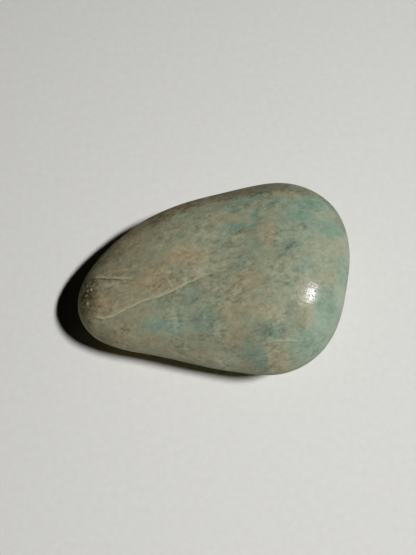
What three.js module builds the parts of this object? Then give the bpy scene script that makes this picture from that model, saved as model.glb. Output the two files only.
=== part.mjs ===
import * as THREE from 'three';
import { mergeVertices } from 'three/addons/utils/BufferGeometryUtils.js';

// A tumbled pebble of amazonite: one smooth stone, narrow and low at one end, broad and thick at
// the other, a little waisted in front, and worn a little flat where it lies. Millimetres, +Z up,
// its length on X, resting on Z = 0 with the middle of its outline at the origin.

// The stone is a taut skin over four swellings, which are what tumbling left of the rough piece's
// corners. Each has its centre, its radius seen from above and its half thickness.
const SWELLINGS = [
  { name: 'tip', centre: [-16.0, -4.2, 5.8], radius: 6.5, halfThickness: 4.8 },
  { name: 'back flank', centre: [-7.0, 2.6, 5.8], radius: 9.7, halfThickness: 5.4 },
  { name: 'back shoulder', centre: [10.8, 5.3, 8.2], radius: 11.3, halfThickness: 7.7 },
  { name: 'front shoulder', centre: [8.3, -4.1, 8.4], radius: 12.1, halfThickness: 7.9 },
];

// Where wear took the taut skin down by a depth or, with a depth below zero, left it standing
// proud. Each place fades out smoothly over about its half sizes.
const WORN_PLACES = [
  { name: 'front waist', centre: [-2.8, -14.8, 9.4], halfSizes: [7.5, 5.0, 4.5], depth: 1.05 },
  { name: 'foot of the waist', centre: [1.8, -14.8, 3.6], halfSizes: [8.5, 5.0, 2.8], depth: -0.55 },
  { name: 'front of the tip', centre: [-10.0, -12.8, 7.5], halfSizes: [5.5, 5.0, 5.0], depth: 0.52 },
  { name: 'top of the front', centre: [4.5, -14.8, 11.5], halfSizes: [6.5, 6.0, 4.0], depth: 1.2 },
  { name: 'back waist', centre: [3.2, 13.7, 11.0], halfSizes: [7.0, 4.0, 5.0], depth: 0.5 },
  { name: 'broad end', centre: [22.5, -3.4, 6.8], halfSizes: [5.0, 6.0, 5.0], depth: 0.7 },
  { name: 'top of the broad end', centre: [18.5, -5.5, 13.5], halfSizes: [4.0, 6.0, 4.0], depth: -0.78 },
  { name: 'front of the crown', centre: [11.5, -8.5, 15.0], halfSizes: [4.0, 4.0, 3.0], depth: 0.16 },
  { name: 'back corner', centre: [19.5, 10.8, 9.0], halfSizes: [5.0, 5.0, 6.0], depth: -0.3 },
  { name: 'front corner', centre: [17.0, -12.3, 5.0], halfSizes: [6.0, 6.0, 5.5], depth: -0.18 },
  { name: 'front foot', centre: [10.0, -16.8, 4.0], halfSizes: [5.5, 5.0, 3.5], depth: -0.35 },
  { name: 'back foot of the tip', centre: [-18.0, 5.2, 3.6], halfSizes: [7.5, 6.0, 3.0], depth: -0.62 },
  { name: 'back of the tip', centre: [-15.0, 7.9, 10.0], halfSizes: [6.5, 5.5, 3.8], depth: 0.98 },
  { name: 'front edge of the tip', centre: [-19.0, -9.3, 8.5], halfSizes: [4.5, 4.5, 3.0], depth: 0.2 },
  { name: 'front foot of the tip', centre: [-16.0, -11.3, 3.5], halfSizes: [4.0, 4.0, 3.0], depth: -0.2 },
  { name: 'end of the tip', centre: [-22.0, -1.5, 5.0], halfSizes: [4.0, 6.0, 4.0], depth: -0.25 },
];

// The height over which wear fades in from the face that the stone rests on.
const FOOT_HEIGHT = 3;

// How tight the skin is between swellings: at 2 they all melt into one bulge, and the higher it
// is, the flatter the stone is from one swelling to the next.
const TAUTNESS = 12;

// The inner point that the skin is measured from, its height over the face that it rests on.
const HEART = new THREE.Vector3(1, 0, 8);

// Rough half sizes of the stone, which spread the mesh's squares evenly over its flat form.
const HALF_SIZES = new THREE.Vector3(22, 16, 8);

// The mesh and the set of tangent planes both start as the squares on a cube's six faces.
const MESH_SQUARES_PER_EDGE = 24;
const PLANE_SQUARES_PER_EDGE = 72;

const AMAZONITE = new THREE.MeshStandardMaterial({
  color: 0x959981,
  roughness: 0.25,
  metalness: 0,
});

// A cube's squares, with the corners that its faces share merged into one closed net.
function cubeNet(squaresPerEdge) {
  const cube = new THREE.BoxGeometry(2, 2, 2, squaresPerEdge, squaresPerEdge, squaresPerEdge);
  cube.deleteAttribute('normal');
  cube.deleteAttribute('uv');
  return mergeVertices(cube, 1e-4);
}

// The directions from a cube's centre to the corners of its net, spread to even angles.
function netDirections(net) {
  const corners = net.getAttribute('position');
  const directions = [];
  for (let i = 0; i < corners.count; i += 1) {
    const corner = new THREE.Vector3().fromBufferAttribute(corners, i);
    const angles = corner.multiplyScalar(Math.PI / 4);
    directions.push(new THREE.Vector3(...angles.toArray().map(Math.tan)).normalize());
  }
  return directions;
}

// How far one swelling reaches from the heart along a direction.
function swellingReach({ centre, radius, halfThickness }, direction) {
  const toCentre = new THREE.Vector3(...centre).sub(HEART);
  const halfSizes = new THREE.Vector3(radius, radius, halfThickness);
  return toCentre.dot(direction) + halfSizes.multiply(direction).length();
}

// The taut skin's reach is the TAUTNESS-norm of all the swellings' reaches.
function skinReach(direction) {
  const powers = SWELLINGS.map((swelling) => {
    return Math.max(swellingReach(swelling, direction), 0) ** TAUTNESS;
  });
  return powers.reduce((sum, power) => sum + power, 0) ** (1 / TAUTNESS);
}

// The planes that touch the skin, closest together where the stone is flattest, and last of all
// the plane that it rests on.
function tangentPlanes() {
  const planes = netDirections(cubeNet(PLANE_SQUARES_PER_EDGE)).map((direction) => {
    const normal = direction.divide(HALF_SIZES).normalize();
    return { normal, reach: skinReach(normal) };
  });
  planes.push({ normal: new THREE.Vector3(0, 0, -1), reach: HEART.z });
  return planes;
}

// The distance from the heart to the first of the planes that a direction meets.
function skinDistance(planes, direction) {
  let nearest = Infinity;
  for (const { normal, reach } of planes) {
    const slope = normal.dot(direction);
    if (slope > 0) {
      nearest = Math.min(nearest, reach / slope);
    }
  }
  return nearest;
}

// How deep wear went at a place on the taut skin.
function wornDepth(place) {
  const depths = WORN_PLACES.map(({ centre, halfSizes, depth }) => {
    const offset = place.clone().sub(new THREE.Vector3(...centre));
    return depth * Math.exp(-offset.divide(new THREE.Vector3(...halfSizes)).lengthSq());
  });
  const sum = depths.reduce((total, depth) => total + depth, 0);
  return sum * THREE.MathUtils.smoothstep(place.z, 0, FOOT_HEIGHT);
}

function stoneGeometry() {
  const planes = tangentPlanes();
  const net = cubeNet(MESH_SQUARES_PER_EDGE);
  const corners = net.getAttribute('position');
  netDirections(net).forEach((netDirection, i) => {
    const direction = netDirection.multiply(HALF_SIZES).normalize();
    const distance = skinDistance(planes, direction);
    const depth = wornDepth(HEART.clone().addScaledVector(direction, distance));
    const corner = HEART.clone().addScaledVector(direction, distance - depth);
    corners.setXYZ(i, corner.x, corner.y, Math.max(corner.z, 0));
  });
  net.computeBoundingBox();
  const middle = net.boundingBox.getCenter(new THREE.Vector3());
  net.translate(-middle.x, -middle.y, 0);
  net.computeVertexNormals();
  return net;
}

const tumbledAmazonite = new THREE.Group();
const stone = new THREE.Mesh(stoneGeometry(), AMAZONITE);
stone.name = 'amazonite_stone';
tumbledAmazonite.add(stone);

export default tumbledAmazonite;
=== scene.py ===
import math

import bpy
import numpy as np
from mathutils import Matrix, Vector


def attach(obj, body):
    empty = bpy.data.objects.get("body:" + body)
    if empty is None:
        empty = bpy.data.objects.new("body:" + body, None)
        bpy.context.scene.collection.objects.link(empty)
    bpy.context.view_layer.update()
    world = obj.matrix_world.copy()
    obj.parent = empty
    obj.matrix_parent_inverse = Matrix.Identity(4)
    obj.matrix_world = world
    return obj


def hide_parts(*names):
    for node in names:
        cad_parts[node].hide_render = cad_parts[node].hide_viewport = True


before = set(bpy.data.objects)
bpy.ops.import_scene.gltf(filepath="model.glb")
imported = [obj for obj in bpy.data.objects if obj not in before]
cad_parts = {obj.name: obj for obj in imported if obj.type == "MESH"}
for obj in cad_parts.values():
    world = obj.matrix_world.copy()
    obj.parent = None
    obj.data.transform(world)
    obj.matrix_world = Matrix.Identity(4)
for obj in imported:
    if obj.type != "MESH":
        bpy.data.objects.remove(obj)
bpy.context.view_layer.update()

MM = 0.001

# ---------------------------------------------------------------- camera and light

CAMERA_AIM = Vector((-0.89, -0.15, 8.0)) * MM
CAMERA_DISTANCE = 140 * MM
CAMERA_AZIMUTH = math.radians(-90)
CAMERA_ELEVATION = math.radians(74)
CAMERA_CLIP_START = 5 * MM
SENSOR_LONG_SIDE = 36.0
LENS = 54.72

# A small lamp, high on the right, that gives the crisp shadow and the highlight.
KEY_LIGHT = {
    "name": "key",
    "distance": 1200 * MM,
    "azimuth": math.radians(-4),
    "elevation": math.radians(55.5),
    "aim": Vector((22, -32, 0)) * MM,
    "size": (230 * MM, 78 * MM),
    "turn": math.radians(-10),
    "watts": 0.445,
    "spread": math.radians(32),
    "colour": (1, 1, 1),
    "in_the_polish": True,
}

# A weak, cool light from low in front, which reaches the stone's edge and hardly touches the
# paper. It leaves no line of its own in the polish.
FILL_LIGHT = {
    "name": "fill",
    "distance": 500 * MM,
    "azimuth": math.radians(-102),
    "elevation": math.radians(2.6),
    "aim": Vector((0, 0, 6)) * MM,
    "size": (300 * MM, 25 * MM),
    "turn": 0.0,
    "watts": 0.030,
    "spread": math.radians(60),
    "colour": (0.93, 0.90, 1.0),
    "in_the_polish": False,
}

WORLD_STRENGTH = 0.001

# Brightness in the scene and in the picture, for the dark tones that the curve bends.
DARK_TONES = [
    (0.02, 0.004), (0.04, 0.014), (0.07, 0.044), (0.1, 0.074), (0.15, 0.126), (0.4, 0.4),
]

# Which of the view's curves bends all three colours alike.
ALL_COLOURS = 3


def direction(azimuth, elevation):
    """The unit vector that points to a place round the stone, with azimuth counted from +X."""
    flat = math.cos(elevation)
    return Vector((flat * math.cos(azimuth), flat * math.sin(azimuth), math.sin(elevation)))


def look(obj, aim):
    """Points a camera or a light at a place."""
    obj.rotation_euler = (aim - obj.location).to_track_quat("-Z", "Y").to_euler()


def add_camera():
    data = bpy.data.cameras.new("camera")
    data.lens = LENS
    data.sensor_width = SENSOR_LONG_SIDE
    data.clip_start = CAMERA_CLIP_START
    camera = bpy.data.objects.new("camera", data)
    bpy.context.scene.collection.objects.link(camera)
    towards_camera = direction(CAMERA_AZIMUTH, CAMERA_ELEVATION)
    camera.location = CAMERA_AIM + CAMERA_DISTANCE * towards_camera
    look(camera, CAMERA_AIM)
    bpy.context.scene.camera = camera


def add_area_light(light):
    data = bpy.data.lights.new(light["name"], "AREA")
    data.shape = "RECTANGLE"
    data.size, data.size_y = light["size"]
    data.energy = light["watts"]
    data.spread = light["spread"]
    data.color = light["colour"]
    lamp = bpy.data.objects.new(light["name"], data)
    bpy.context.scene.collection.objects.link(lamp)
    lamp.location = light["distance"] * direction(light["azimuth"], light["elevation"])
    look(lamp, light["aim"])
    lamp.rotation_euler.rotate_axis("Z", light["turn"])
    lamp.visible_camera = False
    lamp.visible_glossy = light["in_the_polish"]


def add_world():
    world = bpy.data.worlds.new("studio")
    world.use_nodes = True
    background = world.node_tree.nodes["Background"]
    background.inputs["Color"].default_value = (1, 1, 1, 1)
    background.inputs["Strength"].default_value = WORLD_STRENGTH
    bpy.context.scene.world = world


def set_tones():
    """Plain tones, with the darkest ones pulled down a little."""
    view = bpy.context.scene.view_settings
    view.view_transform = "Standard"
    view.use_curve_mapping = True
    curve = view.curve_mapping.curves[ALL_COLOURS]
    for place in DARK_TONES:
        curve.points.new(*place)
    view.curve_mapping.update()


# ---------------------------------------------------------------- shader building blocks


def add_node(tree, kind, inputs=None, **settings):
    """Adds a node. An input takes a value or another node's output."""
    node = tree.nodes.new(kind)
    for name, value in settings.items():
        setattr(node, name, value)
    for name, value in (inputs or {}).items():
        if isinstance(value, bpy.types.NodeSocket):
            tree.links.new(value, node.inputs[name])
        else:
            node.inputs[name].default_value = value
    return node


def math_node(tree, operation, first, second, clamp=False):
    inputs = {0: first, 1: second}
    node = add_node(tree, "ShaderNodeMath", inputs, operation=operation, use_clamp=clamp)
    return node.outputs[0]


def add(tree, first, second, clamp=False):
    return math_node(tree, "ADD", first, second, clamp)


def times(tree, first, second):
    return math_node(tree, "MULTIPLY", first, second)


def attribute(tree, name):
    """One of the piece's own marks, as carve_marks left it on the mesh."""
    return add_node(tree, "ShaderNodeAttribute", attribute_name=name).outputs["Fac"]


def millimetres(tree):
    """The place on the piece, in millimetres."""
    return scaled(tree, add_node(tree, "ShaderNodeTexCoord").outputs["Object"], 1 / MM)


def noise(tree, place, scale, detail=2.0, roughness=0.5, output="Fac"):
    """Noise, from 0 to 1, with features of about 1 / scale millimetres."""
    inputs = {"Vector": place, "Scale": scale, "Detail": detail, "Roughness": roughness}
    return add_node(tree, "ShaderNodeTexNoise", inputs).outputs[output]


def turned(tree, place, degrees, stretch):
    """Place seen along axes that are turned by degrees, with each axis divided by its stretch."""
    inputs = {
        "Vector": place,
        "Rotation": [math.radians(angle) for angle in degrees],
        "Scale": stretch,
    }
    return add_node(tree, "ShaderNodeMapping", inputs, vector_type="TEXTURE").outputs[0]


def zone(tree, place, centre, half_sizes, degrees, edge):
    """1 inside a patch of rock, fading to 0 over its edge, which is a share of its size."""
    inputs = {
        "Vector": place,
        "Location": (*centre, PATCH_MIDDLE),
        "Rotation": (0, 0, math.radians(degrees)),
        "Scale": (*half_sizes, PATCH_REACH),
    }
    inside = add_node(tree, "ShaderNodeMapping", inputs, vector_type="TEXTURE").outputs[0]
    inputs = {"Vector": inside}
    gradient = add_node(tree, "ShaderNodeTexGradient", inputs, gradient_type="SPHERICAL")
    return smooth_step(tree, gradient.outputs["Fac"], 0.0, edge)


def add_zones(tree, total, place, zones, edge):
    """Adds each zone's strength to a total, fading out over the zones' edges."""
    for centre, half_sizes, degrees, strength in zones:
        share = zone(tree, place, centre, half_sizes, degrees, edge)
        inputs = {0: share, 1: strength, 2: total}
        node = add_node(tree, "ShaderNodeMath", inputs, operation="MULTIPLY_ADD")
        total = node.outputs[0]
    return total


def smooth_step(tree, value, low, high, start=0.0, end=1.0):
    """From start where value is low or less to end where it is high or more."""
    inputs = {"Value": value, "From Min": low, "From Max": high, "To Min": start, "To Max": end}
    node = add_node(tree, "ShaderNodeMapRange", inputs, interpolation_type="SMOOTHSTEP")
    return node.outputs["Result"]


def centred(tree, value, amount):
    """A 0 to 1 value, moved to lie round 0 and multiplied."""
    return times(tree, math_node(tree, "SUBTRACT", value, 0.5), amount)


def scaled(tree, vector, amount):
    """A place or a colour, multiplied."""
    inputs = {0: vector, "Scale": amount}
    return add_node(tree, "ShaderNodeVectorMath", inputs, operation="SCALE").outputs[0]


def push(tree, place, colour_noise, amount):
    """Place moved by up to half of amount, each axis by its own noise."""
    middle = {0: colour_noise, 1: (0.5, 0.5, 0.5)}
    offset = add_node(tree, "ShaderNodeVectorMath", middle, operation="SUBTRACT").outputs[0]
    moved = {0: place, 1: scaled(tree, offset, amount)}
    return add_node(tree, "ShaderNodeVectorMath", moved, operation="ADD").outputs[0]


def ramp(tree, value, stops):
    """The colour for a value from 0 to 1, from stops of a position and a colour."""
    node = add_node(tree, "ShaderNodeValToRGB", {"Fac": value})
    elements = node.color_ramp.elements
    while len(elements) < len(stops):
        elements.new(1.0)
    for element, (position, colour) in zip(elements, stops):
        element.position = position
        element.color = (*colour, 1)
    return node.outputs["Color"]


def blend(tree, share, first, second):
    """The first colour, or the second where share is 1."""
    inputs = {"Factor": share, "A": first, "B": (*second, 1)}
    return add_node(tree, "ShaderNodeMix", inputs, data_type="RGBA").outputs["Result"]


def new_material(name):
    material = bpy.data.materials.new(name)
    material.use_nodes = True
    tree = material.node_tree
    return material, tree, tree.nodes["Principled BSDF"]


# ---------------------------------------------------------------- the stone's colours, with painted light and shade

# The patches that show on top are ellipsoids, all centred at one height and reaching as far
# down as each other, in millimetres. Most are the rock's own colour, and some are painted light
# and shade. A patch fades out over its edge, a share of its size.
PATCH_MIDDLE = 13.0
PATCH_REACH = 13.5
COLOUR_EDGE = 0.6
LIGHTNESS_EDGE = 0.7

# Centre and half sizes seen from above, in millimetres, turn in degrees and strength of each
# greener patch.
GREEN_PATCHES = [
    ((14.0, 8.0), (6.5, 5.0), 0, 0.16),
    ((16.5, 11.2), (3.8, 1.7), 14, 0.36),
    ((19.5, 6.2), (3.4, 1.7), 8, 0.36),
    ((14.2, 8.2), (2.2, 1.6), 0, 0.24),
    ((12.5, 7.8), (3.0, 1.2), 15, 0.15),
    ((10.5, 10.2), (3.2, 0.9), 10, 0.16),
    ((5.2, 11.4), (4.2, 1.3), 5, 0.30),
    ((3.2, 9.4), (2.2, 0.9), 0, 0.22),
    ((6.8, 8.2), (1.4, 1.6), 0, 0.28),
    ((4.0, 6.2), (4.2, 1.3), 0, 0.34),
    ((6.0, 3.2), (1.8, 1.8), 0, 0.18),
    ((3.2, 1.2), (3.4, 1.2), 0, 0.14),
    ((4.0, -0.5), (3.0, 1.6), 0, 0.12),
    ((12.3, 3.0), (3.0, 1.4), 20, 0.18),
    ((13.5, -0.8), (2.6, 1.4), 0, 0.20),
    ((20.8, -0.5), (1.6, 4.0), 0, 0.20),
    ((18.0, -7.0), (3.4, 3.8), 0, 0.26),
    ((15.5, -12.0), (4.5, 2.6), 25, 0.30),
    ((8.5, -10.8), (3.0, 1.3), 0, 0.20),
    ((6.2, -13.6), (3.6, 2.0), -35, 0.22),
    ((7.6, -15.2), (1.8, 0.8), -40, 0.12),
    ((0.8, 3.6), (2.6, 2.0), 0, 0.18),
    ((-1.0, -8.8), (4.5, 2.0), 5, 0.12),
    ((2.5, -14.5), (2.4, 1.0), 0, 0.15),
    ((-5.0, -7.5), (8.0, 4.5), 12, 0.18),
    ((-10.0, -9.2), (3.6, 1.5), 3, 0.30),
    ((-6.0, -9.6), (2.6, 2.0), 0, 0.22),
    ((-3.4, -4.6), (1.6, 2.2), 0, 0.18),
    ((-1.0, -10.4), (3.2, 1.6), 0, 0.16),
    ((-4.5, -12.0), (1.2, 0.7), 0, 0.12),
    ((-5.2, 5.6), (1.5, 1.1), 0, 0.26),
    ((-3.5, 8.6), (4.0, 2.2), 10, 0.16),
    ((-16.0, 2.2), (2.0, 1.0), 0, 0.10),
]

# The same for each tan patch.
TAN_PATCHES = [
    ((-9.3, -1.2), (3.4, 2.8), 0, 0.20),
    ((-4.5, 1.6), (5.2, 2.2), 0, 0.26),
    ((-11.8, -2.4), (3.0, 0.9), 0, 0.14),
    ((-18.6, -5.6), (2.4, 3.0), 0, 0.20),
    ((-13.0, 5.5), (4.5, 3.5), 30, 0.08),
    ((-14.6, 7.6), (4.0, 2.0), 36, 0.20),
    ((-9.0, 10.6), (4.4, 2.0), 25, 0.36),
    ((-5.0, 11.8), (3.5, 1.4), 18, 0.36),
    ((0.0, 13.0), (4.0, 1.2), 8, 0.32),
    ((5.0, 13.4), (4.5, 1.2), 5, 0.34),
    ((12.0, 12.8), (4.0, 1.6), -3, 0.24),
    ((16.5, 13.8), (3.0, 1.6), -30, 0.20),
    ((-0.8, 4.0), (2.0, 1.6), 0, 0.08),
    ((3.0, 8.0), (2.0, 0.8), 0, 0.14),
    ((3.2, 3.6), (3.0, 1.0), 0, 0.10),
    ((8.6, 4.8), (2.4, 4.0), -3, 0.17),
    ((9.5, 0.0), (3.0, 1.3), 0, 0.10),
    ((5.5, -2.8), (3.6, 2.4), 0, 0.24),
    ((4.2, -5.0), (3.4, 2.6), 0, 0.18),
    ((7.0, -7.6), (3.2, 2.0), -12, 0.26),
    ((2.4, -8.0), (2.4, 2.0), 0, 0.20),
    ((3.4, -11.4), (1.6, 2.6), 0, 0.18),
    ((14.3, -6.0), (2.0, 4.2), 0, 0.24),
    ((18.0, -2.4), (2.4, 2.2), 0, 0.16),
    ((10.4, -14.4), (2.2, 2.6), -10, 0.26),
    ((-3.6, -9.6), (0.9, 2.0), 0, 0.12),
    ((20.3, 3.2), (1.8, 1.8), 0, 0.20),
    ((17.0, 3.0), (4.0, 1.5), 0, 0.08),
    ((17.6, 8.7), (2.4, 0.9), 5, 0.24),
]

# The same for each paler patch or, below zero, darker one. The darker row along the back edge
# is mostly painted shade, the paler patch at the front edge is painted light, and the faint
# pale patch next to the highlight is a painted sheen.
LIGHTNESS_AND_PAINTED_LIGHT_PATCHES = [
    ((-4.0, 7.0), (12.0, 6.0), 12, 0.16),
    ((0.5, 5.2), (2.4, 1.4), 0, 0.14),
    ((-10.0, 4.3), (2.6, 1.4), 0, 0.12),
    ((-5.5, 8.8), (3.0, 1.2), 25, 0.08),
    ((5.0, 11.4), (3.4, 1.2), 0, 0.20),
    ((-17.5, -10.5), (3.0, 2.0), -20, -0.16),
    ((-7.0, -8.8), (5.5, 3.4), 5, 0.12),
    ((5.6, 8.6), (5.5, 2.4), 0, 0.12),
    ((-2.0, 2.0), (8.5, 4.2), 10, 0.10),
    ((16.8, -8.8), (3.2, 4.4), 0, 0.14),
    ((11.5, 2.0), (4.0, 3.0), 0, -0.06),
    ((5.0, -14.0), (8.0, 2.2), -6, 0.12),
    # Painted light: the front edge made paler, where light from low in front falls on it.
    ((1.5, -15.4), (5.0, 3.0), -12, 0.20),
    ((20.6, -5.5), (2.2, 3.5), 0, 0.12),
    ((-12.8, -10.4), (1.4, 1.1), 0, 0.16),
    ((-1.5, -1.0), (4.5, 1.8), 14, 0.12),
    # Painted sheen: a faint pale patch next to the highlight, where the polish glows round it.
    ((16.6, 0.0), (2.0, 3.0), 0, 0.05),
    ((13.2, -1.2), (1.6, 0.4), 60, 0.06),
    ((-2.0, -8.7), (4.4, 0.9), 6, -0.14),
    ((8.5, -10.5), (3.4, 2.0), 0, -0.14),
    ((12.0, -8.5), (3.0, 4.0), 0, -0.08),
    ((12.4, 3.2), (1.8, 1.2), 0, -0.10),
    ((14.6, 6.4), (0.6, 1.4), 0, -0.10),
    ((2.4, 3.3), (1.6, 1.0), 0, -0.12),
    ((-2.3, 7.8), (1.2, 1.6), 0, -0.12),
    ((-16.0, 1.0), (4.5, 4.5), 0, -0.12),
    ((-16.8, 4.6), (2.8, 2.6), 45, -0.20),
    ((-18.5, -4.0), (3.0, 4.5), 0, -0.14),
    ((-21.0, -2.6), (3.0, 5.0), 0, -0.50),
    ((-21.2, -6.8), (2.4, 2.6), 25, -0.22),
    ((-12.5, -0.5), (3.0, 1.4), 0, -0.06),
    # Mostly painted shade: a darker row along the back edge, from the tip round to the broad end,
    # where the back flank turns away from the lamp. The rest is the rock's own darker edge.
    ((-18.8, 2.9), (5.2, 1.7), 57, -0.34),
    ((-14.4, 7.4), (4.4, 1.8), 36, -0.36),
    ((-9.4, 10.2), (4.8, 2.2), 25, -0.42),
    ((-4.0, 12.1), (4.6, 2.0), 17, -0.40),
    ((2.0, 13.3), (5.0, 2.0), 8, -0.40),
    ((8.5, 13.9), (5.5, 2.0), 4, -0.34),
    ((14.4, 13.6), (4.4, 2.0), -14, -0.30),
    ((19.2, 11.9), (3.8, 1.6), -45, -0.30),
    ((20.9, 8.2), (2.4, 1.4), -60, -0.24),
]

# The same for each small dark fleck.
FLECKS = [
    ((-3.4, -5.9), (0.9, 0.6), 30, -0.26),
    ((-3.2, -3.1), (1.5, 0.5), 12, -0.14),
    ((4.0, -2.3), (1.1, 0.5), 0, -0.22),
    ((4.4, 5.5), (1.3, 0.5), 8, -0.18),
    ((3.1, 9.3), (0.9, 0.6), 20, -0.20),
    ((12.6, 3.2), (1.0, 0.35), 48, -0.20),
    ((11.7, 2.3), (0.9, 0.35), 48, -0.20),
    ((13.0, -1.1), (0.35, 0.8), -15, -0.18),
    ((13.9, -0.9), (0.35, 0.7), -15, -0.15),
    ((8.1, -10.8), (0.35, 0.9), 0, -0.18),
    ((8.9, -10.9), (0.35, 0.8), 0, -0.18),
    ((9.7, -11.0), (0.35, 0.7), 0, -0.14),
    ((-5.0, -12.0), (1.0, 0.5), 10, -0.18),
    ((-5.2, 5.4), (0.9, 0.5), 0, -0.15),
    ((18.2, -6.9), (0.6, 1.0), 15, -0.12),
]

# The rock's colours from tan to teal.
TAN_TO_GREEN = [
    (0.0, (0.415, 0.352, 0.236)),
    (0.25, (0.374, 0.351, 0.245)),
    (0.5, (0.330, 0.346, 0.249)),
    (0.75, (0.286, 0.342, 0.265)),
    (1.0, (0.236, 0.316, 0.245)),
]

# The pale lip of a fissure, and the dark line below it, which is painted shade in the crease under a
# ledge.
LIP_COLOUR = (0.58, 0.54, 0.40)
CREASE_SHADE_COLOUR = (0.12, 0.12, 0.08)
# Whitish chips: partly the chipped rock's own colour, partly painted glints off cleavage faces.
CHIP_AND_GLINT_COLOUR = (0.80, 0.80, 0.66)
LIP_STRENGTH = 0.9
CREASE_SHADE_STRENGTH = 0.75

# How much tanner the rock turns on a fissure's left, and greener on its right.
SIDE_TINT = 0.12

# The grain runs along the stone's length and rises a little towards the broad end.
GRAIN_TURN = (0, 0, 18)
GRAIN_STRETCH = (2.2, 0.8, 0.9)
CROSS_GRAIN_TURN = (0, 0, -58)
CROSS_GRAIN_STRETCH = (1.8, 0.8, 0.9)
RIPPLE_TURN = (0, 0, -16)
RIPPLE_STRETCH = (3.0, 0.8, 1.0)

# The polish's roughness where it is seen straight on and from low down, and how much rougher it
# is in a pit.
POLISHED = 0.175
GRAZED = 0.7
PITTED = 0.45
RIPPLE_HEIGHT = 0.03 * MM
STONE_IOR = 1.168
STONE_SPECULAR = 0.85


def rock_greenness(tree, place, pushed):
    """From 0 for tan to 1 for teal: greener towards the broad end, with patches, freer clouds of
    both lower down, a tint beside the fissures and a fine mottle."""
    axes = add_node(tree, "ShaderNodeSeparateXYZ", {0: place}).outputs
    along = {"Value": axes["X"], "From Min": -20.0, "From Max": 20.0, "To Min": 0.20, "To Max": 0.64}
    green = add_node(tree, "ShaderNodeMapRange", along).outputs[0]
    green = add_zones(tree, green, pushed, GREEN_PATCHES, COLOUR_EDGE)
    tan = add_zones(tree, 0.0, pushed, TAN_PATCHES, COLOUR_EDGE)
    green = math_node(tree, "SUBTRACT", green, tan)
    clouds = centred(tree, noise(tree, pushed, 0.3, 4.0, 0.55), 1.0)
    lower_down = smooth_step(tree, axes["Z"], 4.0, 11.0, 1.9, 0.5)
    green = add(tree, green, times(tree, clouds, lower_down))
    green = add(tree, green, times(tree, attribute(tree, "fissure_side"), -SIDE_TINT))
    mottle = noise(tree, turned(tree, place, GRAIN_TURN, GRAIN_STRETCH), 1.4, 4.0, 0.6)
    return add(tree, green, centred(tree, mottle, 0.66), clamp=True)


def rock_grain(tree, place):
    """Streaks, cross streaks and blotches, lighter and darker than the rock. They are bolder in
    some places than in others, and calmest at the broad end."""
    grain_place = turned(tree, place, GRAIN_TURN, GRAIN_STRETCH)
    cross_place = turned(tree, place, CROSS_GRAIN_TURN, CROSS_GRAIN_STRETCH)
    streaks = centred(tree, noise(tree, grain_place, 1.9, 1.5, 0.55), 0.74)
    crossing = centred(tree, noise(tree, cross_place, 2.6, 1.0, 0.5), 0.42)
    blotches = centred(tree, noise(tree, place, 0.8, 2.0, 0.6), 0.8)
    grain = add(tree, add(tree, streaks, crossing), blotches)
    bold = smooth_step(tree, noise(tree, place, 0.22, 1.0), 0.36, 0.62, 0.6, 1.2)
    axes = add_node(tree, "ShaderNodeSeparateXYZ", {0: place}).outputs
    bold = times(tree, bold, smooth_step(tree, axes["X"], 8.0, 17.0, 1.0, 0.6))
    specks = smooth_step(tree, noise(tree, grain_place, 1.9, 2.0), 0.62, 0.72, 0.0, -0.16)
    return add(tree, times(tree, grain, bold), specks)


def rock_lightness_and_painted_light(tree, place, pushed):
    """What the rock's colour is multiplied by: lighter at the tip, with patches, flecks and grain,
    and with painted shade along the back edge and painted light at the front edge and next to
    the highlight.
    """
    axes = add_node(tree, "ShaderNodeSeparateXYZ", {0: place}).outputs
    lightness_and_painted_light = smooth_step(tree, axes["X"], -22.0, 22.0, 1.05, 0.99)
    lightness_and_painted_light = add_zones(tree, lightness_and_painted_light, pushed, LIGHTNESS_AND_PAINTED_LIGHT_PATCHES, LIGHTNESS_EDGE)
    lightness_and_painted_light = add_zones(tree, lightness_and_painted_light, pushed, FLECKS, LIGHTNESS_EDGE)
    return add(tree, lightness_and_painted_light, rock_grain(tree, place))


def add_marks(tree, colour):
    """The fissures' pale lips and their dark lines of painted shade, and the whitish chips with
    painted glints.
    """
    lip = times(tree, attribute(tree, "fissure_lip"), LIP_STRENGTH)
    crease_shade = times(tree, attribute(tree, "fissure_crease_shade"), CREASE_SHADE_STRENGTH)
    colour = blend(tree, lip, colour, LIP_COLOUR)
    colour = blend(tree, crease_shade, colour, CREASE_SHADE_COLOUR)
    return blend(tree, attribute(tree, "chip_and_glint_mask"), colour, CHIP_AND_GLINT_COLOUR)


def add_polish(tree, shader, place):
    """A polish with faint ripples and small dull pits, duller where it is seen from low down."""
    level = smooth_step(tree, noise(tree, place, 3.4, 1.0, 0.5), 0.36, 0.44)
    ripples = noise(tree, turned(tree, place, RIPPLE_TURN, RIPPLE_STRETCH), 0.9, 1.0)
    height = add(tree, ripples, times(tree, level, 0.1))
    inputs = {"Height": height, "Strength": 1.0, "Distance": RIPPLE_HEIGHT}
    bump = add_node(tree, "ShaderNodeBump", inputs)
    facing = add_node(tree, "ShaderNodeLayerWeight", {"Blend": 0.5}).outputs["Facing"]
    polish = smooth_step(tree, facing, 0.4, 0.9, POLISHED, GRAZED)
    pits = smooth_step(tree, level, 0.0, 1.0, PITTED, 0.0)
    tree.links.new(add(tree, polish, pits, clamp=True), shader.inputs["Roughness"])
    tree.links.new(bump.outputs[0], shader.inputs["Normal"])
    shader.inputs["IOR"].default_value = STONE_IOR
    shader.inputs["Specular IOR Level"].default_value = STONE_SPECULAR


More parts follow.
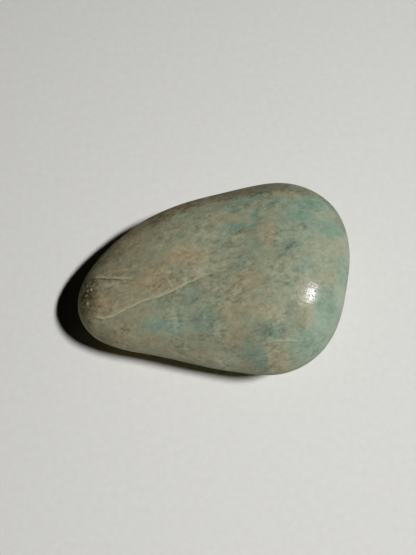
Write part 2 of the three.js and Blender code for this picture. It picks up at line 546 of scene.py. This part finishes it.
def stone_material():
    material, tree, shader = new_material("tumbled amazonite")
    place = millimetres(tree)
    # The patches' edges are pushed about by noise, broadly and then finely.
    pushed = push(tree, place, noise(tree, place, 0.3, 2.0, output="Color"), 1.2)
    pushed = push(tree, pushed, noise(tree, place, 1.1, 5.0, 0.65, output="Color"), 2.0)
    colour = ramp(tree, rock_greenness(tree, place, pushed), TAN_TO_GREEN)
    colour = scaled(tree, colour, rock_lightness_and_painted_light(tree, place, pushed))
    tree.links.new(add_marks(tree, colour), shader.inputs["Base Color"])
    add_polish(tree, shader, place)
    return material


PAPER_TONES = [(0.3, (0.775, 0.77, 0.74)), (0.7, (0.815, 0.81, 0.78))]
PAPER_ROUGHNESS = 0.9
PAPER_SPECULAR = 0.2


def paper_material():
    material, tree, shader = new_material("pale paper")
    fibres = noise(tree, millimetres(tree), 0.9, 4.0, 0.6)
    tree.links.new(ramp(tree, fibres, PAPER_TONES), shader.inputs["Base Color"])
    shader.inputs["Roughness"].default_value = PAPER_ROUGHNESS
    shader.inputs["Specular IOR Level"].default_value = PAPER_SPECULAR
    return material


# ---------------------------------------------------------------- modelling helpers


def select_only(obj):
    bpy.ops.object.select_all(action="DESELECT")
    obj.select_set(True)
    bpy.context.view_layer.objects.active = obj


def apply_modifier(obj, kind, **settings):
    """Adds a modifier and makes its shape the object's own."""
    select_only(obj)
    modifier = obj.modifiers.new(kind.title(), kind)
    for name, value in settings.items():
        setattr(modifier, name, value)
    bpy.ops.object.modifier_apply(modifier=modifier.name)


def mesh_places(stone):
    """The places of all the mesh's points, in metres, as rows."""
    places = np.empty(3 * len(stone.data.vertices))
    stone.data.vertices.foreach_get("co", places)
    return places.reshape(-1, 3)


def set_mesh_places(stone, places):
    stone.data.vertices.foreach_set("co", places.ravel())
    stone.data.update()


# A vertex group leaves out the points that it would hardly move, in millimetres.
LEAST_WEIGHT = 0.001


def add_group(stone, name, weights):
    group = stone.vertex_groups.new(name=name)
    for index in np.flatnonzero(weights > LEAST_WEIGHT):
        group.add([int(index)], float(min(weights[index], 1)), "REPLACE")


def add_attribute(stone, name, values):
    marks = stone.data.attributes.new(name, "FLOAT", "POINT")
    marks.data.foreach_set("value", values.astype(np.float32))


# ---------------------------------------------------------------- the floor and the smooth stone

FLOOR_SIZE = 3000 * MM


def add_floor():
    bpy.ops.object.select_all(action="DESELECT")
    bpy.ops.mesh.primitive_plane_add(size=FLOOR_SIZE, location=(0, 0, 0))
    floor = bpy.context.object
    floor.name = "floor"
    floor.data.materials.append(paper_material())


# Points nearer than this are one point.
SAME_POINT = 0.001 * MM

# How often each square is halved, and how often the smooth skin is fitted to the corners.
SKIN_LEVELS = 2
SKIN_FITS = 6


def corner_places(stone, corners):
    """Where the smooth skin puts the corners that it was given, which are its first points."""
    depsgraph = bpy.context.evaluated_depsgraph_get()
    skin = stone.evaluated_get(depsgraph)
    return mesh_places(skin)[:corners]


def fit_skin(stone):
    """Smooths the stone through its own corners, and keeps it on the floor. The corners of the net
    under the skin are moved out until the skin reaches where they were."""
    modifier = stone.modifiers.new("Smooth skin", "SUBSURF")
    modifier.levels = modifier.render_levels = SKIN_LEVELS
    wanted = mesh_places(stone)
    corners = wanted.copy()
    for _ in range(SKIN_FITS):
        corners += wanted - corner_places(stone, len(wanted))
        set_mesh_places(stone, corners)
    bpy.ops.object.modifier_apply(modifier=modifier.name)
    places = mesh_places(stone)
    places[:, 2] = np.maximum(places[:, 2], 0)
    set_mesh_places(stone, places)


def smooth_stone(node):
    """A copy of the solid as one smooth skin of small squares."""
    stone = bpy.data.objects.new("tumbled_amazonite", node.data.copy())
    bpy.context.scene.collection.objects.link(stone)
    select_only(stone)
    bpy.ops.mesh.customdata_custom_splitnormals_clear()
    bpy.ops.object.mode_set(mode="EDIT")
    bpy.ops.mesh.select_all(action="SELECT")
    bpy.ops.mesh.remove_doubles(threshold=SAME_POINT)
    bpy.ops.mesh.tris_convert_to_quads()
    bpy.ops.object.mode_set(mode="OBJECT")
    bpy.ops.object.shade_smooth()
    fit_skin(stone)
    return stone


# ---------------------------------------------------------------- the fissures and chips

# Each fissure's route over the top, seen from above and led towards the broad end. The rock on its
# left stands proud of the rock on its right by the ledge, with a pale lip on the edge and a dark line
# below, which is painted shade in the crease under the ledge. Pale and dark are the strengths of the
# lip and the line, and sides is how much tanner the rock is on the left and greener on the right, or
# the other way round below 0. The width is that of the lip and of the line. Route, ledge, width and
# length are in millimetres.
FISSURES = [
    {
        "route": [
            (-20.3, -7.0), (-18.9, -7.4), (-17.9, -7.6), (-16.9, -7.6), (-15.9, -7.3),
            (-14.9, -6.9), (-13.9, -6.4), (-12.9, -6.1), (-11.9, -5.6), (-10.9, -5.3),
            (-8.9, -4.9), (-7.9, -4.5), (-6.9, -4.2), (-5.9, -3.8), (-4.9, -3.3),
            (-3.9, -2.8), (-2.9, -2.5), (-1.9, -2.0), (-0.9, -1.7), (0.1, -1.6),
            (1.6, -1.1),
        ],
        "ledge": 0.05,
        "pale": 1.0,
        "dark": 0.35,
        "width": 0.13,
        "length": 24,
        "sides": 1.0,
    },
    {
        "route": [
            (-19.9, -0.6), (-18.7, -0.8), (-17.9, -0.9), (-16.9, -1.1), (-16.0, -1.2),
            (-14.6, -1.4), (-12.9, -1.5),
        ],
        "ledge": 0.11,
        "pale": 1.0,
        "dark": 1.0,
        "width": 0.14,
        "length": 7,
        "sides": -0.2,
    },
    {
        "route": [(-19.0, -3.1), (-18.4, -2.9), (-17.7, -2.7), (-16.7, -2.4), (-15.7, -2.2)],
        "ledge": 0.05,
        "pale": 0.5,
        "dark": 0.1,
        "width": 0.24,
        "length": 3.4,
        "sides": 0.0,
    },
    {
        "route": [(8.3, -12.4), (10.2, -12.2), (12.0, -12.1), (13.9, -12.1)],
        "ledge": 0.03,
        "pale": 0.6,
        "dark": 0.2,
        "width": 0.10,
        "length": 5.6,
        "sides": 0.0,
    },
]

# The mesh is made finer this near to a fissure, or within this many of a chip's radii, by this many
# cuts across each square.
REFINED_BAND = 0.7 * MM
REFINED_RADII = 1.3
REFINING_CUTS = 2

# The underside, below this height, has no fissures.
LOWEST_FISSURE = 6 * MM

# How far a ledge and the tint beside a fissure run out from it.
LEDGE_RUN_OUT = 1.6 * MM
SIDE_REACH = 1.6 * MM

# A fissure wavers off its route: by how many millimetres, how fast along it, and from where.
WAVERS = [(0.035, 3.1, 0), (0.015, 7.7, 1)]

# The shares of its length over which a fissure comes in and dies out.
COMES_IN = 0.06
DIES_OUT = 0.25

# Its lip and line are strongest and weakest by turns: the middle strength, the swing each way, how
# fast along it, and from where.
PATCHY_MIDDLE = 0.72
PATCHY_SWING = 0.28
PATCHY_RATE = 2.9
PATCHY_START = 2

# The glow beyond the lip: its share of the lip's strength, and its place and spread in widths.
GLOW_SHARE = 0.25
GLOW_PLACE = 2.5
GLOW_SPREAD = 2

# How many widths the dark line of painted shade lies below the route.
CREASE_SHADE_PLACE = 0.8

# Small chips near the tip: centre, radius and depth in millimetres. Their whitish colour is partly
# the chipped rock's own and partly painted glints off cleavage faces.
CHIPS = [
    ((-20.6, -2.7, 9.1), 0.26, 0.10),
    ((-20.0, -2.6, 9.5), 0.28, 0.12),
    ((-20.8, -3.5, 9.0), 0.24, 0.08),
    ((-20.5, -4.9, 9.3), 0.32, 0.08),
    ((-19.7, -2.0, 9.6), 0.22, 0.06),
    ((-20.7, -1.7, 8.6), 0.26, 0.06),
]


def from_route(places, route):
    """Each place's signed distance from a route, positive on its left, and its share along it."""
    points = np.array(route) * MM
    steps = np.diff(points, axis=0)
    lengths = np.linalg.norm(steps, axis=1)
    starts = np.concatenate([[0.0], np.cumsum(lengths)])
    nearest = np.full(len(places), np.inf)
    share = np.zeros(len(places))
    for point, step, length, start in zip(points, steps, lengths, starts):
        offset = places[:, :2] - point
        along = np.clip(offset @ step / length**2, 0, 1)
        gap = offset - along[:, None] * step
        distance = np.linalg.norm(gap, axis=1)
        side = np.sign(step[0] * offset[:, 1] - step[1] * offset[:, 0])
        closer = distance < np.abs(nearest)
        nearest = np.where(closer, side * distance, nearest)
        share = np.where(closer, (start + along * length) / starts[-1], share)
    return nearest, share


def band(distance, middle, spread):
    """1 at the middle, fading out on both sides over about twice the spread."""
    return np.exp(-(((distance - middle) / spread) ** 2))


def fissure_masks(places, fissure):
    """The ledge's height and the strengths of the lip, of the dark line of painted shade and of the
    side tint at each place.
    """
    distance, share = from_route(places, fissure["route"])
    along = share * fissure["length"]
    distance += sum(size * np.sin(rate * along + start) for size, rate, start in WAVERS) * MM
    taper = np.clip(share / COMES_IN, 0, 1) * np.clip((1 - share) / DIES_OUT, 0, 1)
    taper = taper * (places[:, 2] > LOWEST_FISSURE)
    width = fissure["width"] * MM
    step = np.clip(distance / width + 0.5, 0, 1)
    ledge = fissure["ledge"] * step * np.exp(-np.clip(distance, 0, None) / LEDGE_RUN_OUT)
    patchy = PATCHY_MIDDLE + PATCHY_SWING * np.sin(PATCHY_RATE * along + PATCHY_START)
    lip = fissure["pale"] * patchy * band(distance, width, width)
    lip += GLOW_SHARE * fissure["pale"] * band(distance, GLOW_PLACE * width, GLOW_SPREAD * width)
    crease_shade = fissure["dark"] * patchy * band(distance, -CREASE_SHADE_PLACE * width, width)
    side = fissure["sides"] * np.tanh(distance / width) * np.exp(-np.abs(distance) / SIDE_REACH)
    return ledge * taper, lip * taper, crease_shade * taper, side * taper


def refine_near_marks(stone):
    """Splits the faces near each fissure and chip into smaller ones."""
    places = mesh_places(stone)
    near = np.zeros(len(places), dtype=bool)
    for fissure in FISSURES:
        distance, _ = from_route(places, fissure["route"])
        near |= (np.abs(distance) < REFINED_BAND) & (places[:, 2] > LOWEST_FISSURE)
    for centre, radius, _ in CHIPS:
        reach = REFINED_RADII * radius * MM
        near |= np.linalg.norm(places - np.array(centre) * MM, axis=1) < reach
    select_only(stone)
    bpy.ops.object.mode_set(mode="EDIT")
    bpy.ops.mesh.select_mode(type="FACE")
    bpy.ops.mesh.select_all(action="DESELECT")
    bpy.ops.object.mode_set(mode="OBJECT")
    for face in stone.data.polygons:
        face.select = all(near[index] for index in face.vertices)
    bpy.ops.object.mode_set(mode="EDIT")
    bpy.ops.mesh.subdivide(number_cuts=REFINING_CUTS)
    bpy.ops.object.mode_set(mode="OBJECT")


def carve_marks(stone):
    """Raises the fissures' ledges, sinks the chips and keeps the masks for the material."""
    places = mesh_places(stone)
    ledges, lips, crease_shades, sides = np.zeros((4, len(places)))
    for fissure in FISSURES:
        ledge, lip, crease_shade, side = fissure_masks(places, fissure)
        ledges = np.maximum(ledges, ledge)
        lips = np.maximum(lips, lip)
        crease_shades = np.maximum(crease_shades, crease_shade)
        sides += side
    chips = np.zeros(len(places))
    for centre, radius, depth in CHIPS:
        distance = np.linalg.norm(places - np.array(centre) * MM, axis=1) / (radius * MM)
        chips = np.maximum(chips, depth * np.clip(1 - distance**2, 0, 1))
    deepest = max(depth for _, _, depth in CHIPS)
    add_group(stone, "ledges", ledges)
    add_group(stone, "chips", chips)
    add_attribute(stone, "fissure_lip", lips)
    add_attribute(stone, "fissure_crease_shade", crease_shades)
    add_attribute(stone, "fissure_side", sides)
    add_attribute(stone, "chip_and_glint_mask", chips / deepest)
    apply_modifier(stone, "DISPLACE", vertex_group="ledges", strength=MM, mid_level=0)
    apply_modifier(stone, "DISPLACE", vertex_group="chips", strength=-MM, mid_level=0)


# ---------------------------------------------------------------- the scene

add_camera()
add_world()
add_area_light(KEY_LIGHT)
add_area_light(FILL_LIGHT)
set_tones()
add_floor()

stone = smooth_stone(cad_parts["amazonite_stone"])
refine_near_marks(stone)
carve_marks(stone)
stone.data.materials.clear()
stone.data.materials.append(stone_material())
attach(stone, "root")
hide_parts("amazonite_stone")
